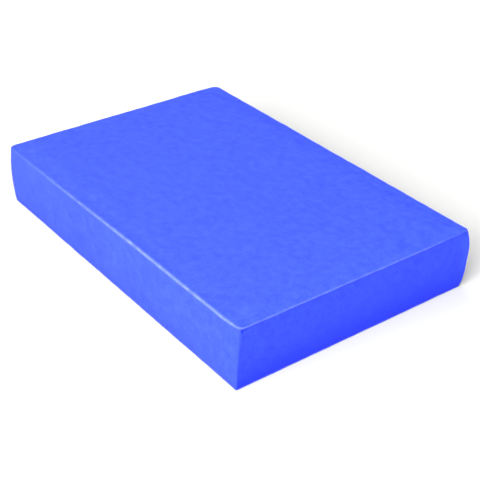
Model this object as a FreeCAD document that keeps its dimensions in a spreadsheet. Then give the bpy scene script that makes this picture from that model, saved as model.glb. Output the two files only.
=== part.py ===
import FreeCAD, Part
import os
import re

import Sketcher

# A balance pad: a foam block in a sewn cover of coated fabric, closed by a zip on its long back side.
# Millimetres, +Z up. The origin is the centre of the underside. The long sides run along X, and the
# zip is on the +Y side.

SIZES = [
    # alias, value, meaning
    ("pad_length", 450, "outside length of the cover, along X"),
    ("pad_width", 300, "outside width of the cover, along Y"),
    ("pad_height", 70, "outside height of the cover"),
    ("cover_cloth", 0.8, "thickness of the coated fabric"),
    ("wrapped_corner", 11, "plan radius of the corners that a band wraps round"),
    ("sharp_corner", 3, "plan radius of the two corners at the +X end"),
    ("edge_radius", 1.5, "roll of the top and base panels over their edges"),
    ("rim_depth", 2.2, "how far a panel turns over its edge, down to the seam"),
    ("seam_allowance", 5, "fabric turned inside at each seam"),
    ("allowance_end", 14, "distance from a corner at which the allowances are clipped"),
    ("corner_seam", 1.3, "how far in from the corner, along X and along Y, its seam allowance starts"),
    ("core_ease", 0.1, "gap between the foam and the cover"),
    ("core_chamfer", 9, "foam pressed back along its edges by the seam allowances"),
    ("core_back", 147.6, "Y of the foam's back face, behind the doubled fabric of the zip side"),
    ("core_rebate", 145.6, "Y of the foam's back face behind the zip"),
    ("rebate_half", 18, "half height of the stretch of foam pressed back behind the zip"),
    ("thread_radius", 0.2, "radius of the sewing thread"),
    ("thread_inset", 1, "distance of a seam's thread from the inside of the cover"),
    ("thread_stop", 6, "distance of an upright seam's thread ends from the pad's top and underside"),
    ("gusset_half", 185, "half length of the two strips that carry the zip"),
    ("zip_gap", 5.2, "distance of each strip's folded edge from the middle of the zip"),
    ("hem_width", 10, "fabric folded under along the zip"),
    ("topstitch_inset", 2.5, "distance of the topstitching from the folded edge"),
    ("stitch_length", 2.8, "length of a topstitch"),
    ("stitch_pitch", 4, "distance from one topstitch to the next"),
    ("tape_cloth", 0.6, "thickness of the zip tape"),
    ("tape_reach", 16, "distance of the tape's outer edge from the middle of the zip"),
    ("tape_parting", 0.5, "distance of the tape's inner edge from the middle of the zip"),
    ("tape_end", 184.7, "X of the tape's ends"),
    ("coil_reach", 3, "distance of a coil's outer side from the middle of the zip"),
    ("coil_parting", 0.5, "distance of a coil's inner side from the middle of the zip"),
    ("coil_height", 2, "height of the coils over the tape"),
    ("coil_end", 176.5, "X of the coils' ends"),
    ("coil_round", 0.6, "rounding of the coils' outer edges"),
    ("stop_length", 2.5, "length of an end stop"),
    ("stop_reach", 3.7, "distance of a stop's outer side from the middle of the zip"),
    ("stop_round", 0.5, "rounding of the stops' long edges"),
    ("slider_tail", 164.6, "X of the slider's narrow end with the zip closed"),
    ("slider_length", 11.4, "length of the slider"),
    ("slider_gap", 0.3, "gap between the slider and what it slides along"),
    ("slider_wall", 1, "thickness of the slider's plates and flanges"),
    ("plate_round", 0.3, "rounding of the outer plate's rim"),
    ("slider_neck", 0.2, "half thickness of the slider's neck, between the coils"),
    ("neck_length", 2.4, "length of the slider's neck"),
    ("pivot_inset", 3.4, "distance of the pull's pivot from the slider's wide end"),
    ("pivot_lift", 1.7, "distance of the pull's pivot from the slider's outer plate"),
    ("pivot_radius", 0.6, "radius of the pin that the pull turns on"),
    ("pivot_clearance", 0.08, "radial gap between the pin and the pull"),
    ("knuckle_radius", 1.3, "outside radius of the pull's knuckle"),
    ("knuckle_half", 1.6, "half width of the pull's knuckle"),
    ("ear_half", 1.4, "half length of the slider's ears"),
    ("ear_wall", 0.9, "thickness of an ear"),
    ("pull_length", 26, "length of the pull from its pivot"),
    ("pull_half", 3.5, "half width of the pull's tab"),
    ("pull_thickness", 1.4, "thickness of the pull's tab"),
    ("pull_neck", 4.2, "distance from the pivot to the full width of the tab"),
    ("pull_round", 3.2, "radius of the corners at the tab's end"),
    ("slot_start", 2.5, "distance of the finger slot from the tab's end"),
    ("slot_length", 8, "length of the finger slot"),
    ("slot_half", 1.5, "half width of the finger slot"),
]

NEAR = 1e-6          # how closely a face or edge has to lie where it is looked for, in millimetres
LEAST_CUT = 1e-3     # least volume that a cut has to take away, in cubic millimetres

doc = FreeCAD.newDocument("BalancePad")
sizes = doc.addObject("Spreadsheet::Sheet", "Sizes")
for row, (alias, number, meaning) in enumerate(SIZES, start=1):
    sizes.set(f"A{row}", meaning)
    sizes.set(f"B{row}", str(number))
    sizes.setAlias(f"B{row}", alias)
doc.recompute()


def formula(text):
    """A formula of aliases, which all have an underscore, as an expression that reads the sheet."""
    return re.sub(r"\b([a-z]+_[a-z]+)\b", r"Sizes.\1", text)


def value(text):
    """What a formula of aliases comes to."""
    return float(sizes.evalExpression(formula(text)))


def mirrored(level):
    """The height as far below the pad's middle as a formula's height is above it."""
    return f"pad_height - ({level})"


# Levels and places that several pieces share, as formulas
MIDDLE = "pad_height / 2"
TOP_SEAM = "pad_height - rim_depth"
FACE = "pad_width / 2"
INSIDE = "(pad_width / 2 - cover_cloth)"
CLOTH_MIDDLE = "pad_width / 2 - cover_cloth / 2"
TAPE_FACE = "(pad_width / 2 - 2 * cover_cloth)"
TAPE_BACK = "(pad_width / 2 - 2 * cover_cloth - tape_cloth)"
COIL_FACE = "(pad_width / 2 - 2 * cover_cloth + coil_height)"
PLATE_FACE = "(pad_width / 2 - 2 * cover_cloth + coil_height + slider_gap + slider_wall)"
SLIDER_NOSE = "(slider_tail + slider_length)"
PIVOT_X = "(slider_tail + slider_length - pivot_inset)"
PIVOT_Y = "(pad_width / 2 - 2 * cover_cloth + coil_height + slider_gap + slider_wall + pivot_lift)"


def new_body(name):
    body = doc.addObject("PartDesign::Body", name)
    body.Label = name
    return body


def new_sketch(body, name, role, offset):
    """A sketch on one of the body's own origin planes, moved along its normal by a formula."""
    sketch = body.newObject("Sketcher::SketchObject", name)
    plane = next(feature for feature in body.Origin.OriginFeatures if feature.Role == role)
    sketch.AttachmentSupport = [(plane, "")]
    sketch.MapMode = "FlatFace"
    sketch.setExpression("AttachmentOffset.Base.z", formula(offset))
    return sketch


def pin_point(sketch, curve, place, point):
    """Holds one point of a curve at a pair of formulas."""
    for kind, text in zip(("DistanceX", "DistanceY"), point):
        index = sketch.addConstraint(Sketcher.Constraint(kind, -1, 1, curve, place, value(text)))
        sketch.setExpression(f"Constraints[{index}]", formula(text))


def add_loop(sketch, points):
    """A closed chain of lines through pairs of formulas."""
    corners = [FreeCAD.Vector(value(across), value(along), 0) for across, along in points]
    first = sketch.GeometryCount
    count = len(points)
    for i in range(count):
        sketch.addGeometry(Part.LineSegment(corners[i], corners[(i + 1) % count]))
    for i in range(count):
        following = first + (i + 1) % count
        sketch.addConstraint(Sketcher.Constraint("Coincident", first + i, 2, following, 1))
        pin_point(sketch, first + i, 1, points[i])


def add_circle(sketch, centre, radius):
    place = FreeCAD.Vector(value(centre[0]), value(centre[1]), 0)
    curve = sketch.addGeometry(Part.Circle(place, FreeCAD.Vector(0, 0, 1), value(radius)))
    pin_point(sketch, curve, 3, centre)
    index = sketch.addConstraint(Sketcher.Constraint("Radius", curve, value(radius)))
    sketch.setExpression(f"Constraints[{index}]", formula(radius))


def extrude(body, kind, sketch, length, reverse=False):
    feature = body.newObject(kind, f"{sketch.Name}_{kind.rsplit(':')[-1].lower()}")
    feature.Profile = sketch
    feature.Type = 0
    feature.Reversed = reverse
    feature.setExpression("Length", formula(length))
    sketch.Visibility = False
    doc.recompute()
    return feature


def slab(body, name, low, high, loops):
    """Adds what loops of (X, Y) formulas enclose, from the height low to the height high."""
    sketch = new_sketch(body, f"{body.Name}_{name}", "XY_Plane", low)
    for points in loops:
        add_loop(sketch, points)
    return extrude(body, "PartDesign::Pad", sketch, f"({high}) - ({low})")


def plate(body, name, inner, outer, loops):
    """Adds what loops of (X, Z) formulas enclose, from Y inner to Y outer."""
    sketch = new_sketch(body, f"{body.Name}_{name}", "XZ_Plane", f"-({outer})")
    for points in loops:
        add_loop(sketch, points)
    return extrude(body, "PartDesign::Pad", sketch, f"({outer}) - ({inner})")


def cut_slab(body, name, low, high, loops):
    """Takes what loops of (X, Y) formulas enclose out of a body, from low to high."""
    before = body.Shape.Volume
    sketch = new_sketch(body, f"{body.Name}_{name}", "XY_Plane", low)
    for points in loops:
        add_loop(sketch, points)
    feature = extrude(body, "PartDesign::Pocket", sketch, f"({high}) - ({low})", reverse=True)
    if body.Shape.Volume > before - LEAST_CUT:
        raise RuntimeError(f"{body.Name}: the cut {name} takes nothing away")
    return feature


def dress(body, kind, size_name, size, wanted):
    """A fillet or chamfer of the body's tip, on the edges that wanted picks."""
    doc.recompute()
    base = body.Tip
    names = [f"Edge{i}" for i, edge in enumerate(base.Shape.Edges, start=1) if wanted(edge)]
    if not names:
        raise RuntimeError(f"{body.Name}: no edges for a {kind}")
    feature = body.newObject(kind, f"{body.Name}_{kind.rsplit(':')[-1].lower()}")
    feature.Base = (base, names)
    feature.setExpression(size_name, formula(size))
    body.Tip = feature
    doc.recompute()
    return feature


def fillet(body, radius, wanted):
    return dress(body, "PartDesign::Fillet", "Radius", radius, wanted)


def chamfer(body, size, wanted):
    return dress(body, "PartDesign::Chamfer", "Size", size, wanted)


def box_loop(low_a, high_a, low_b, high_b):
    """The four corners of a rectangle, as pairs of formulas."""
    return [(low_a, low_b), (high_a, low_b), (high_a, high_b), (low_a, high_b)]


def is_vertical(edge):
    box = edge.BoundBox
    return box.XLength < NEAR and box.YLength < NEAR


def at_level(edge, level):
    box = edge.BoundBox
    return abs(box.ZMin - level) < NEAR and abs(box.ZMax - level) < NEAR


def is_lengthwise(edge):
    box = edge.BoundBox
    return box.YLength < NEAR and box.ZLength < NEAR


def round_corners(body, inset):
    """Rounds the plan corners of a rectangle that lies inset inside the cover's outside."""
    length = value(f"pad_length / 2 - {inset}")
    width = value(f"pad_width / 2 - {inset}")

    def corner(side):
        def wanted(edge):
            box = edge.BoundBox
            across = abs(abs(box.YMin) - width) < NEAR
            return is_vertical(edge) and across and abs(box.XMin - side * length) < NEAR
        return wanted

    fillet(body, f"wrapped_corner - {inset}", corner(-1))
    fillet(body, f"sharp_corner - {inset}", corner(1))


def side_allowances():
    """Strips of seam allowance along the four sides, clipped short of the corners."""
    end_x = "pad_length / 2 - allowance_end"
    end_y = "pad_width / 2 - allowance_end"
    outer_x = "pad_length / 2 - cover_cloth / 2"
    outer_y = "pad_width / 2 - cover_cloth / 2"
    inner_x = "pad_length / 2 - cover_cloth - seam_allowance"
    inner_y = "pad_width / 2 - cover_cloth - seam_allowance"
    front = box_loop(f"-({end_x})", end_x, f"-({outer_y})", f"-({inner_y})")
    back = box_loop(f"-({end_x})", end_x, inner_y, outer_y)
    left = box_loop(f"-({outer_x})", f"-({inner_x})", f"-({end_y})", end_y)
    right = box_loop(inner_x, outer_x, f"-({end_y})", end_y)
    return front, back, left, right


def build_core():
    """The foam block, pressed back along its edges by the seam allowances and behind the zip."""
    body = new_body("foam_core")
    half_x = "pad_length / 2 - cover_cloth - core_ease"
    half_y = "pad_width / 2 - cover_cloth - core_ease"
    low = "cover_cloth + core_ease"
    slab(body, "block", low, mirrored(low), [box_loop(f"-({half_x})", half_x, f"-({half_y})", "core_back")])
    chamfer(body, "core_chamfer", lambda edge: True)
    rebate = box_loop("-gusset_half", "gusset_half", "core_rebate", FACE)
    cut_slab(body, "rebate", f"{MIDDLE} - rebate_half", f"{MIDDLE} + rebate_half", [rebate])
    return body


def build_panel(name):
    """A panel with its rolled edge and its seam allowance, as the top one lies."""
    body = new_body(name)
    outside = box_loop("-pad_length / 2", "pad_length / 2", "-pad_width / 2", "pad_width / 2")
    slab(body, "sheet", TOP_SEAM, "pad_height", [outside])
    round_corners(body, "0")
    top = value("pad_height")
    fillet(body, "edge_radius", lambda edge: at_level(edge, top))
    base = body.Tip
    seam = value(TOP_SEAM)
    below = [i for i, face in enumerate(base.Shape.Faces, start=1) if face.BoundBox.ZMax < seam + NEAR]
    shell = body.newObject("PartDesign::Thickness", f"{name}_shell")
    shell.Base = (base, [f"Face{i}" for i in below])
    shell.setExpression("Value", formula("cover_cloth"))
    shell.Reversed = True
    shell.Join = 0
    body.Tip = shell
    doc.recompute()
    slab(body, "allowance", TOP_SEAM, f"{TOP_SEAM} + cover_cloth", side_allowances())
    return body


def build_ring(name):
    """The whole ring of the cover's side, from which each band is cut."""
    body = new_body(name)
    outer = box_loop("-pad_length / 2", "pad_length / 2", "-pad_width / 2", "pad_width / 2")
    half_x = "pad_length / 2 - cover_cloth"
    half_y = "pad_width / 2 - cover_cloth"
    inner = box_loop(f"-({half_x})", half_x, f"-({half_y})", half_y)
    slab(body, "ring", mirrored(TOP_SEAM), TOP_SEAM, [outer, inner])
    round_corners(body, "0")
    round_corners(body, "cover_cloth")
    return body


def corner_allowance(side):
    """The allowance of the upright seam at the +X -Y corner: side is 1 on the long band, -1 on the short."""
    step = f"{side} * cover_cloth / sqrt(2)"
    ends = "(corner_seam + seam_allowance / sqrt(2))"
    return [
        ("pad_length / 2 - corner_seam", "-pad_width / 2 + corner_seam"),
        (f"pad_length / 2 - {ends}", f"-pad_width / 2 + {ends}"),
        (f"pad_length / 2 - {ends} - {step}", f"-pad_width / 2 + {ends} - {step}"),
        (f"pad_length / 2 - corner_seam - {step}", f"-pad_width / 2 + corner_seam - {step}"),
    ]


def add_band_allowances(body, strips, end_strip, side):
    """The top, base, zip-end and corner seam allowances of a side band."""
    slab(body, "base_allowance", mirrored(TOP_SEAM), f"{mirrored(TOP_SEAM)} + cover_cloth", strips)
    slab(body, "top_allowance", f"{TOP_SEAM} - cover_cloth", TOP_SEAM, strips)
    slab(body, "end_allowance", mirrored(TOP_SEAM), TOP_SEAM, [end_strip])
    inside = f"{TOP_SEAM} - 2 * cover_cloth"
    slab(body, "corner_allowance", mirrored(inside), inside, [corner_allowance(side)])


def build_long_band():
    """The band along the front, round the -X end, and a little way along the back."""
    body = build_ring("long_side_band")
    others = [
        ("pad_length / 2 + wrapped_corner", "-pad_width / 2 - wrapped_corner"),
        ("pad_length / 2 + wrapped_corner", "pad_width / 2 + wrapped_corner"),
        ("-gusset_half", "pad_width / 2 + wrapped_corner"),
        ("-gusset_half", "-pad_width / 2 + 2 * wrapped_corner"),
        ("pad_length / 2 - 2 * wrapped_corner", "-pad_width / 2 + 2 * wrapped_corner"),
    ]
    cut_slab(body, "others", "-rim_depth", "pad_height + rim_depth", [others])
    front, _, left, _ = side_allowances()
    lying = box_loop("-gusset_half - seam_allowance", "-gusset_half", TAPE_FACE, CLOTH_MIDDLE)
    add_band_allowances(body, [front, left], lying, 1)
    return body


def build_short_band():
    """The band along the +X end and a little way along the back."""
    body = build_ring("short_side_band")
    others = [
        ("pad_length / 2 + wrapped_corner", "-pad_width / 2 - wrapped_corner"),
        ("pad_length / 2 - 2 * wrapped_corner", "-pad_width / 2 + 2 * wrapped_corner"),
        ("gusset_half", "-pad_width / 2 + 2 * wrapped_corner"),
        ("gusset_half", "pad_width / 2 + wrapped_corner"),
        ("-pad_length / 2 - wrapped_corner", "pad_width / 2 + wrapped_corner"),
        ("-pad_length / 2 - wrapped_corner", "-pad_width / 2 - wrapped_corner"),
    ]
    cut_slab(body, "others", "-rim_depth", "pad_height + rim_depth", [others])
    _, _, _, right = side_allowances()
    lying = box_loop("gusset_half", "gusset_half + seam_allowance", TAPE_FACE, CLOTH_MIDDLE)
    add_band_allowances(body, [right], lying, -1)
    return body


def either(level, upper):
    """A height formula of the upper half of the zip side, or its mirror for the lower half."""
    return level if upper else mirrored(level)


def half_slab(body, name, low, high, loops, upper):
    """A slab of the upper half of the zip side, or its mirror in the lower half."""
    ends = (low, high) if upper else (mirrored(high), mirrored(low))
    return slab(body, name, ends[0], ends[1], loops)


def build_strip(name, upper):
    """A strip of the zip side: its hem is folded under along the zip and its ends are turned back."""
    body = new_body(name)
    fold = f"{MIDDLE} + zip_gap"
    front_layer = box_loop("-gusset_half", "gusset_half", INSIDE, FACE)
    half_slab(body, "face", fold, TOP_SEAM, [front_layer], upper)
    hem = box_loop("-gusset_half", "gusset_half", TAPE_FACE, CLOTH_MIDDLE)
    half_slab(body, "hem", fold, f"{fold} + hem_width", [hem], upper)
    turned = "gusset_half - seam_allowance"
    ends = [
        box_loop("-gusset_half", f"-({turned})", TAPE_FACE, CLOTH_MIDDLE),
        box_loop(turned, "gusset_half", TAPE_FACE, CLOTH_MIDDLE),
    ]
    half_slab(body, "ends", fold, TOP_SEAM, ends, upper)
    allowance = box_loop("-gusset_half", "gusset_half", f"{INSIDE} - seam_allowance", CLOTH_MIDDLE)
    half_slab(body, "allowance", f"{TOP_SEAM} - cover_cloth", TOP_SEAM, [allowance], upper)
    return body


def build_tape(name, upper):
    body = new_body(name)
    tape = box_loop("-tape_end", "tape_end", TAPE_BACK, TAPE_FACE)
    half_slab(body, "tape", f"{MIDDLE} + tape_parting", f"{MIDDLE} + tape_reach", [tape], upper)
    return body


def build_coil(name, upper):
    """One half of the zip's chain, as the smooth bar that its coil fills."""
    body = new_body(name)
    bar = box_loop("-coil_end", "coil_end", TAPE_FACE, COIL_FACE)
    half_slab(body, "bar", f"{MIDDLE} + coil_parting", f"{MIDDLE} + coil_reach", [bar], upper)
    front = value(COIL_FACE)
    fillet(body, "coil_round", lambda edge: is_lengthwise(edge) and edge.BoundBox.YMin > front - NEAR)
    return body


def build_top_stops():
    """A stop clamped on each coil at the closed end."""
    body = new_body("zip_top_stops")
    block = box_loop("coil_end", "coil_end + stop_length", TAPE_FACE, f"{COIL_FACE} + slider_gap")
    for name, upper in (("upper", True), ("lower", False)):
        half_slab(body, name, f"{MIDDLE} + coil_parting", f"{MIDDLE} + stop_reach", [block], upper)
    fillet(body, "stop_round", is_lengthwise)
    return body


def build_bottom_stop():
    """One stop across both coils at the open end."""
    body = new_body("zip_bottom_stop")
    block = box_loop("-coil_end - stop_length", "-coil_end", TAPE_FACE, f"{COIL_FACE} + slider_gap")
    slab(body, "block", f"{MIDDLE} - stop_reach", f"{MIDDLE} + stop_reach", [block])
    fillet(body, "stop_round", is_lengthwise)
    return body


def slider_outline():
    """The outline of a slider plate in X and Z: narrow over the closed chain, wide at the nose."""
    shoulder = "(coil_reach + slider_gap + slider_wall)"
    waist = "(coil_reach + slider_gap + slider_wall / 2)"
    half = [
        ("slider_tail", waist),
        ("slider_tail + slider_length / 2", shoulder),
        (f"{SLIDER_NOSE} - slider_wall", shoulder),
        (SLIDER_NOSE, f"{shoulder} - slider_wall"),
    ]
    upper = [(x, f"{MIDDLE} + {z}") for x, z in half]
    lower = [(x, f"{MIDDLE} - ({z})") for x, z in reversed(half)]
    return upper + lower


def build_slider():
    """Two plates joined by a neck at the nose, flanges along the outer plate, and ears for the pull."""
    body = new_body("zip_slider")
    outer_inside = f"({COIL_FACE} + slider_gap)"
    back_outside = f"({TAPE_BACK} - slider_gap)"
    plate(body, "outer_plate", outer_inside, PLATE_FACE, [slider_outline()])
    fillet(body, "plate_round", lambda edge: edge.BoundBox.YMin > value(PLATE_FACE) - NEAR)
    neck = box_loop(f"{SLIDER_NOSE} - neck_length", f"{SLIDER_NOSE} - slider_wall / 2",
                    f"{MIDDLE} - slider_neck", f"{MIDDLE} + slider_neck")
    plate(body, "neck", back_outside, f"{outer_inside} + slider_wall / 2", [neck])
    plate(body, "back_plate", f"{back_outside} - slider_wall", back_outside, [slider_outline()])
    flanges = []
    for sign in ("+", "-"):
        flanges.append([
            ("slider_tail", f"{MIDDLE} {sign} (coil_reach + slider_gap)"),
            (f"{SLIDER_NOSE} - slider_wall", f"{MIDDLE} {sign} (coil_reach + slider_gap)"),
            (f"{SLIDER_NOSE} - slider_wall", f"{MIDDLE} {sign} (coil_reach + slider_gap + slider_wall)"),
            ("slider_tail + slider_length / 2", f"{MIDDLE} {sign} (coil_reach + slider_gap + slider_wall)"),
            ("slider_tail", f"{MIDDLE} {sign} (coil_reach + slider_gap + slider_wall / 2)"),
        ])
    plate(body, "flanges", f"{TAPE_FACE} + slider_gap", outer_inside, flanges)
    inner = "(knuckle_half + slider_gap)"
    outer = "(knuckle_half + slider_gap + ear_wall)"
    ears = [
        box_loop(f"{PIVOT_X} - ear_half", f"{PIVOT_X} + ear_half",
                 f"{MIDDLE} {sign} {near}", f"{MIDDLE} {sign} {far}")
        for sign, near, far in (("+", inner, outer), ("-", outer, inner))
    ]
    plate(body, "ears", f"{PLATE_FACE} - slider_wall / 2", f"{PIVOT_Y} + pivot_radius + slider_gap", ears)
    sketch = new_sketch(body, "zip_slider_pin", "XY_Plane", f"{MIDDLE} - {inner} - ear_wall / 2")
    add_circle(sketch, (PIVOT_X, PIVOT_Y), "pivot_radius")
    extrude(body, "PartDesign::Pad", sketch, f"2 * {inner} + ear_wall")
    return body


def build_pull():
    """A tab lying back over the chain, with a knuckle round the slider's pin and a finger slot."""
    body = new_body("zip_pull")
    low = f"{MIDDLE} - knuckle_half"
    sketch = new_sketch(body, "zip_pull_knuckle", "XY_Plane", low)
    add_circle(sketch, (PIVOT_X, PIVOT_Y), "knuckle_radius")
    extrude(body, "PartDesign::Pad", sketch, "2 * knuckle_half")
    end = f"{PIVOT_X} - pull_length"
    tab = [
        (PIVOT_X, f"{MIDDLE} - knuckle_half"),
        (PIVOT_X, f"{MIDDLE} + knuckle_half"),
        (f"{PIVOT_X} - ear_half - slider_gap", f"{MIDDLE} + knuckle_half"),
        (f"{PIVOT_X} - pull_neck", f"{MIDDLE} + pull_half"),
        (end, f"{MIDDLE} + pull_half"),
        (end, f"{MIDDLE} - pull_half"),
        (f"{PIVOT_X} - pull_neck", f"{MIDDLE} - pull_half"),
        (f"{PIVOT_X} - ear_half - slider_gap", f"{MIDDLE} - knuckle_half"),
    ]
    plate(body, "tab", f"{PIVOT_Y} - pull_thickness / 2", f"{PIVOT_Y} + pull_thickness / 2", [tab])
    tip = value(end)
    fillet(body, "pull_round",
           lambda edge: edge.BoundBox.XMax < tip + NEAR and edge.BoundBox.ZLength < NEAR)
    slot = box_loop(f"{end} + slot_start", f"{end} + slot_start + slot_length",
                    f"{PIVOT_Y} - pull_thickness", f"{PIVOT_Y} + pull_thickness")
    cut_slab(body, "slot", f"{MIDDLE} - slot_half", f"{MIDDLE} + slot_half", [slot])
    bore = new_sketch(body, "zip_pull_bore", "XY_Plane", f"{low} - slider_wall")
    add_circle(bore, (PIVOT_X, PIVOT_Y), "pivot_radius + pivot_clearance")
    before = body.Shape.Volume
    extrude(body, "PartDesign::Pocket", bore, "2 * (knuckle_half + slider_wall)", reverse=True)
    if body.Shape.Volume > before - LEAST_CUT:
        raise RuntimeError("zip_pull: the bore takes nothing away")
    return body


AXIS_TURN = {
    "x": FreeCAD.Rotation(FreeCAD.Vector(0, 1, 0), 90),
    "y": FreeCAD.Rotation(FreeCAD.Vector(1, 0, 0), -90),
    "z": FreeCAD.Rotation(),
}


def add_rod(name, axis, length, place):
    """A straight run of thread that starts at three formulas and runs along an axis."""
    rod = doc.addObject("Part::Cylinder", name)
    rod.Placement = FreeCAD.Placement(FreeCAD.Vector(), AXIS_TURN[axis])
    rod.setExpression("Radius", formula("thread_radius"))
    rod.setExpression("Height", formula(length))
    for letter, text in zip("xyz", place):
        rod.setExpression(f"Placement.Base.{letter}", formula(text))
    return rod


def group(name, pieces):
    """Separate pieces of one thread as one object."""
    compound = doc.addObject("Part::Compound", name)
    compound.Label = name
    compound.Links = pieces
    return compound


def build_seam_thread(name, upper):
    """The needle and bobbin threads along the seam round the top or base panel."""
    rods = []
    run_x = "pad_length - 2 * allowance_end"
    run_y = "pad_width - 2 * allowance_end"
    start_x = "allowance_end - pad_length / 2"
    start_y = "allowance_end - pad_width / 2"
    in_x = "(pad_length / 2 - cover_cloth - thread_inset)"
    in_y = "(pad_width / 2 - cover_cloth - thread_inset)"
    over = f"{TOP_SEAM} + cover_cloth + thread_radius"
    under = f"{TOP_SEAM} - cover_cloth - thread_radius"
    for label, level in (("needle", over), ("bobbin", under)):
        height = either(level, upper)
        for sign, side in (("-", "low"), ("", "high")):
            rods.append(add_rod(f"{name}_{label}_x_{side}", "x", run_x, (start_x, sign + in_y, height)))
            rods.append(add_rod(f"{name}_{label}_y_{side}", "y", run_y, (sign + in_x, start_y, height)))
    return group(name, rods)


def build_corner_thread():
    """The needle and bobbin threads down the seam at the +X -Y corner."""
    inset = "(corner_seam + thread_inset)"
    offset = "((cover_cloth + thread_radius) / sqrt(2))"
    rods = []
    for label, sign in (("needle", "-"), ("bobbin", "+")):
        place = (
            f"pad_length / 2 - {inset} {sign} {offset}",
            f"-pad_width / 2 + {inset} {sign} {offset}",
            "thread_stop",
        )
        rods.append(add_rod(f"corner_{label}", "z", "pad_height - 2 * thread_stop", place))
    return group("corner_seam_thread", rods)


def build_zip_end_threads():
    """The threads down the two seams where the zip strips meet the bands."""
    rods = []
    for label, sign in (("low", "-"), ("high", "")):
        place = (f"{sign}gusset_half", f"{TAPE_FACE} - thread_radius", "thread_stop")
        rods.append(add_rod(f"zip_end_{label}", "z", "pad_height - 2 * thread_stop", place))
    return group("zip_end_seam_threads", rods)


def build_topstitch(name, upper):
    """Stitches through the strip, its hem and the tape, lying along the folded edge."""
    height = either(f"{MIDDLE} + zip_gap + topstitch_inset", upper)
    run = value("2 * gusset_half - 2 * seam_allowance")
    count = int(run // value("stitch_pitch"))
    stitches = []
    for i in range(count):
        start = f"-stitch_pitch * {count} / 2 + {i} * stitch_pitch + (stitch_pitch - stitch_length) / 2"
        place = (start, f"{FACE} + thread_radius", height)
        stitches.append(add_rod(f"{name}_{i + 1}", "x", "stitch_length", place))
    return group(name, stitches)


def build_all():
    base = build_panel("base_panel")
    base.Placement = FreeCAD.Placement(FreeCAD.Vector(0, 0, value("pad_height")),
                                       FreeCAD.Rotation(FreeCAD.Vector(1, 0, 0), 180))
    return [
        build_core(),
        build_panel("top_panel"),
        base,
        build_long_band(),
        build_short_band(),
        build_strip("zip_strip_upper", True),
        build_strip("zip_strip_lower", False),
        build_tape("zip_tape_upper", True),
        build_tape("zip_tape_lower", False),
        build_coil("zip_coil_upper", True),
        build_coil("zip_coil_lower", False),
        build_top_stops(),
        build_bottom_stop(),
        build_slider(),
        build_pull(),
        build_seam_thread("top_seam_thread", True),
        build_seam_thread("base_seam_thread", False),
        build_corner_thread(),
        build_zip_end_threads(),
        build_topstitch("zip_topstitch_upper", True),
        build_topstitch("zip_topstitch_lower", False),
    ]


nodes = build_all()
doc.recompute()
for item in doc.Objects:
    if {"Invalid", "Error"} & set(item.State):
        raise RuntimeError(f"{item.Name} failed: {item.State}")
for node in nodes:
    if node.Shape.isNull() or not node.Shape.isValid():
        raise RuntimeError(f"{node.Label} has no valid shape")
os.makedirs("parts", exist_ok=True)
for node in nodes:
    node.Shape.exportStep(f"parts/{node.Label}.step")
    print(node.Label, len(node.Shape.Solids), "solids", round(node.Shape.Volume, 1), "mm3")
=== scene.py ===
import math

import bmesh
import bpy
import numpy as np
from mathutils import Matrix, Vector


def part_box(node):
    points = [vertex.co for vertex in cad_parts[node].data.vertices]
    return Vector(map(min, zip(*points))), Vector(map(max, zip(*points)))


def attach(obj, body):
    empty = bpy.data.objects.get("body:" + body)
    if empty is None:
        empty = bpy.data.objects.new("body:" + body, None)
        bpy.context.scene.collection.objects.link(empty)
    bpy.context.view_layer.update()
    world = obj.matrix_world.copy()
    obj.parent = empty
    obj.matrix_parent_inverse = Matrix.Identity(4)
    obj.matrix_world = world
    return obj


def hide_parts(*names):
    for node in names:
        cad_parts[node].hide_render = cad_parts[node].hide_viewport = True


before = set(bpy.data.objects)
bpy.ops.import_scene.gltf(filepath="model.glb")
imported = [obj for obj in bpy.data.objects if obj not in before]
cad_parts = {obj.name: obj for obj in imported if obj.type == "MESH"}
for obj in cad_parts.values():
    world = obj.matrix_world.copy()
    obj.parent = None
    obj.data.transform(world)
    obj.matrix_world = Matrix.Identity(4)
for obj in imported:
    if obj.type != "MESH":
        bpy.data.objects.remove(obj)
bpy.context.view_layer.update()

# A foam balance pad in a sewn cover of coated fabric, with a zip along its back side.
# Metres. The pad's long sides run along X, the zip is on the +Y side and +Z is up.

MM = 0.001

# ---- sizes, from the frame

HALF_L, HALF_W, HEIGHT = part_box("top_panel")[1]
BASE_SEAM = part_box("long_side_band")[0].z
TOP_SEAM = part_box("long_side_band")[1].z
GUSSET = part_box("zip_strip_upper")[1].x
FOLD_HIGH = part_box("zip_strip_upper")[0].z
FOLD_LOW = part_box("zip_strip_lower")[1].z
MIDDLE = (FOLD_HIGH + FOLD_LOW) / 2
STITCH_HIGH = sum(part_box("zip_topstitch_upper"), Vector()).z / 2
STITCH_LOW = sum(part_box("zip_topstitch_lower"), Vector()).z / 2
RIM = HEIGHT - TOP_SEAM    # how far a panel turns over its edge

CLOTH = 0.78 * MM          # thickness of the coated fabric
EDGE_ROLL = 1.4 * MM       # radius of the panels' rolled edges
WIDE_ROLL = 3.2 * MM       # how far in the roll reaches along the -Y side
SEAM_ROLL = 0.5 * MM       # radius at which the fabric turns into a seam
FOLD_ROLL = 0.8 * MM       # radius of the folded edges along the zip
TUCK = 3 * MM              # how far the fabric is followed into a seam
HEM = 9.5 * MM             # how far the fabric is followed behind a folded edge
BASE_TUCK = 0.5 * MM       # how far the sides are drawn in at the base seam
BASE_TUCK_REACH = 5 * MM   # how far up from the base seam that reaches
SIDE_BULGE = 2.6 * MM      # most that the sides stand out between their seams
CORNER_BULGE = 2.4 * MM    # how far the foam's upright corners push the fabric out
CROWN = 1.6 * MM           # most that the top stands up between its seams
CROWN_START = 25 * MM      # how far in from the edges it comes fully into play
SINK = 0.3 * MM            # most that the foam lets the fabric sink

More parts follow.
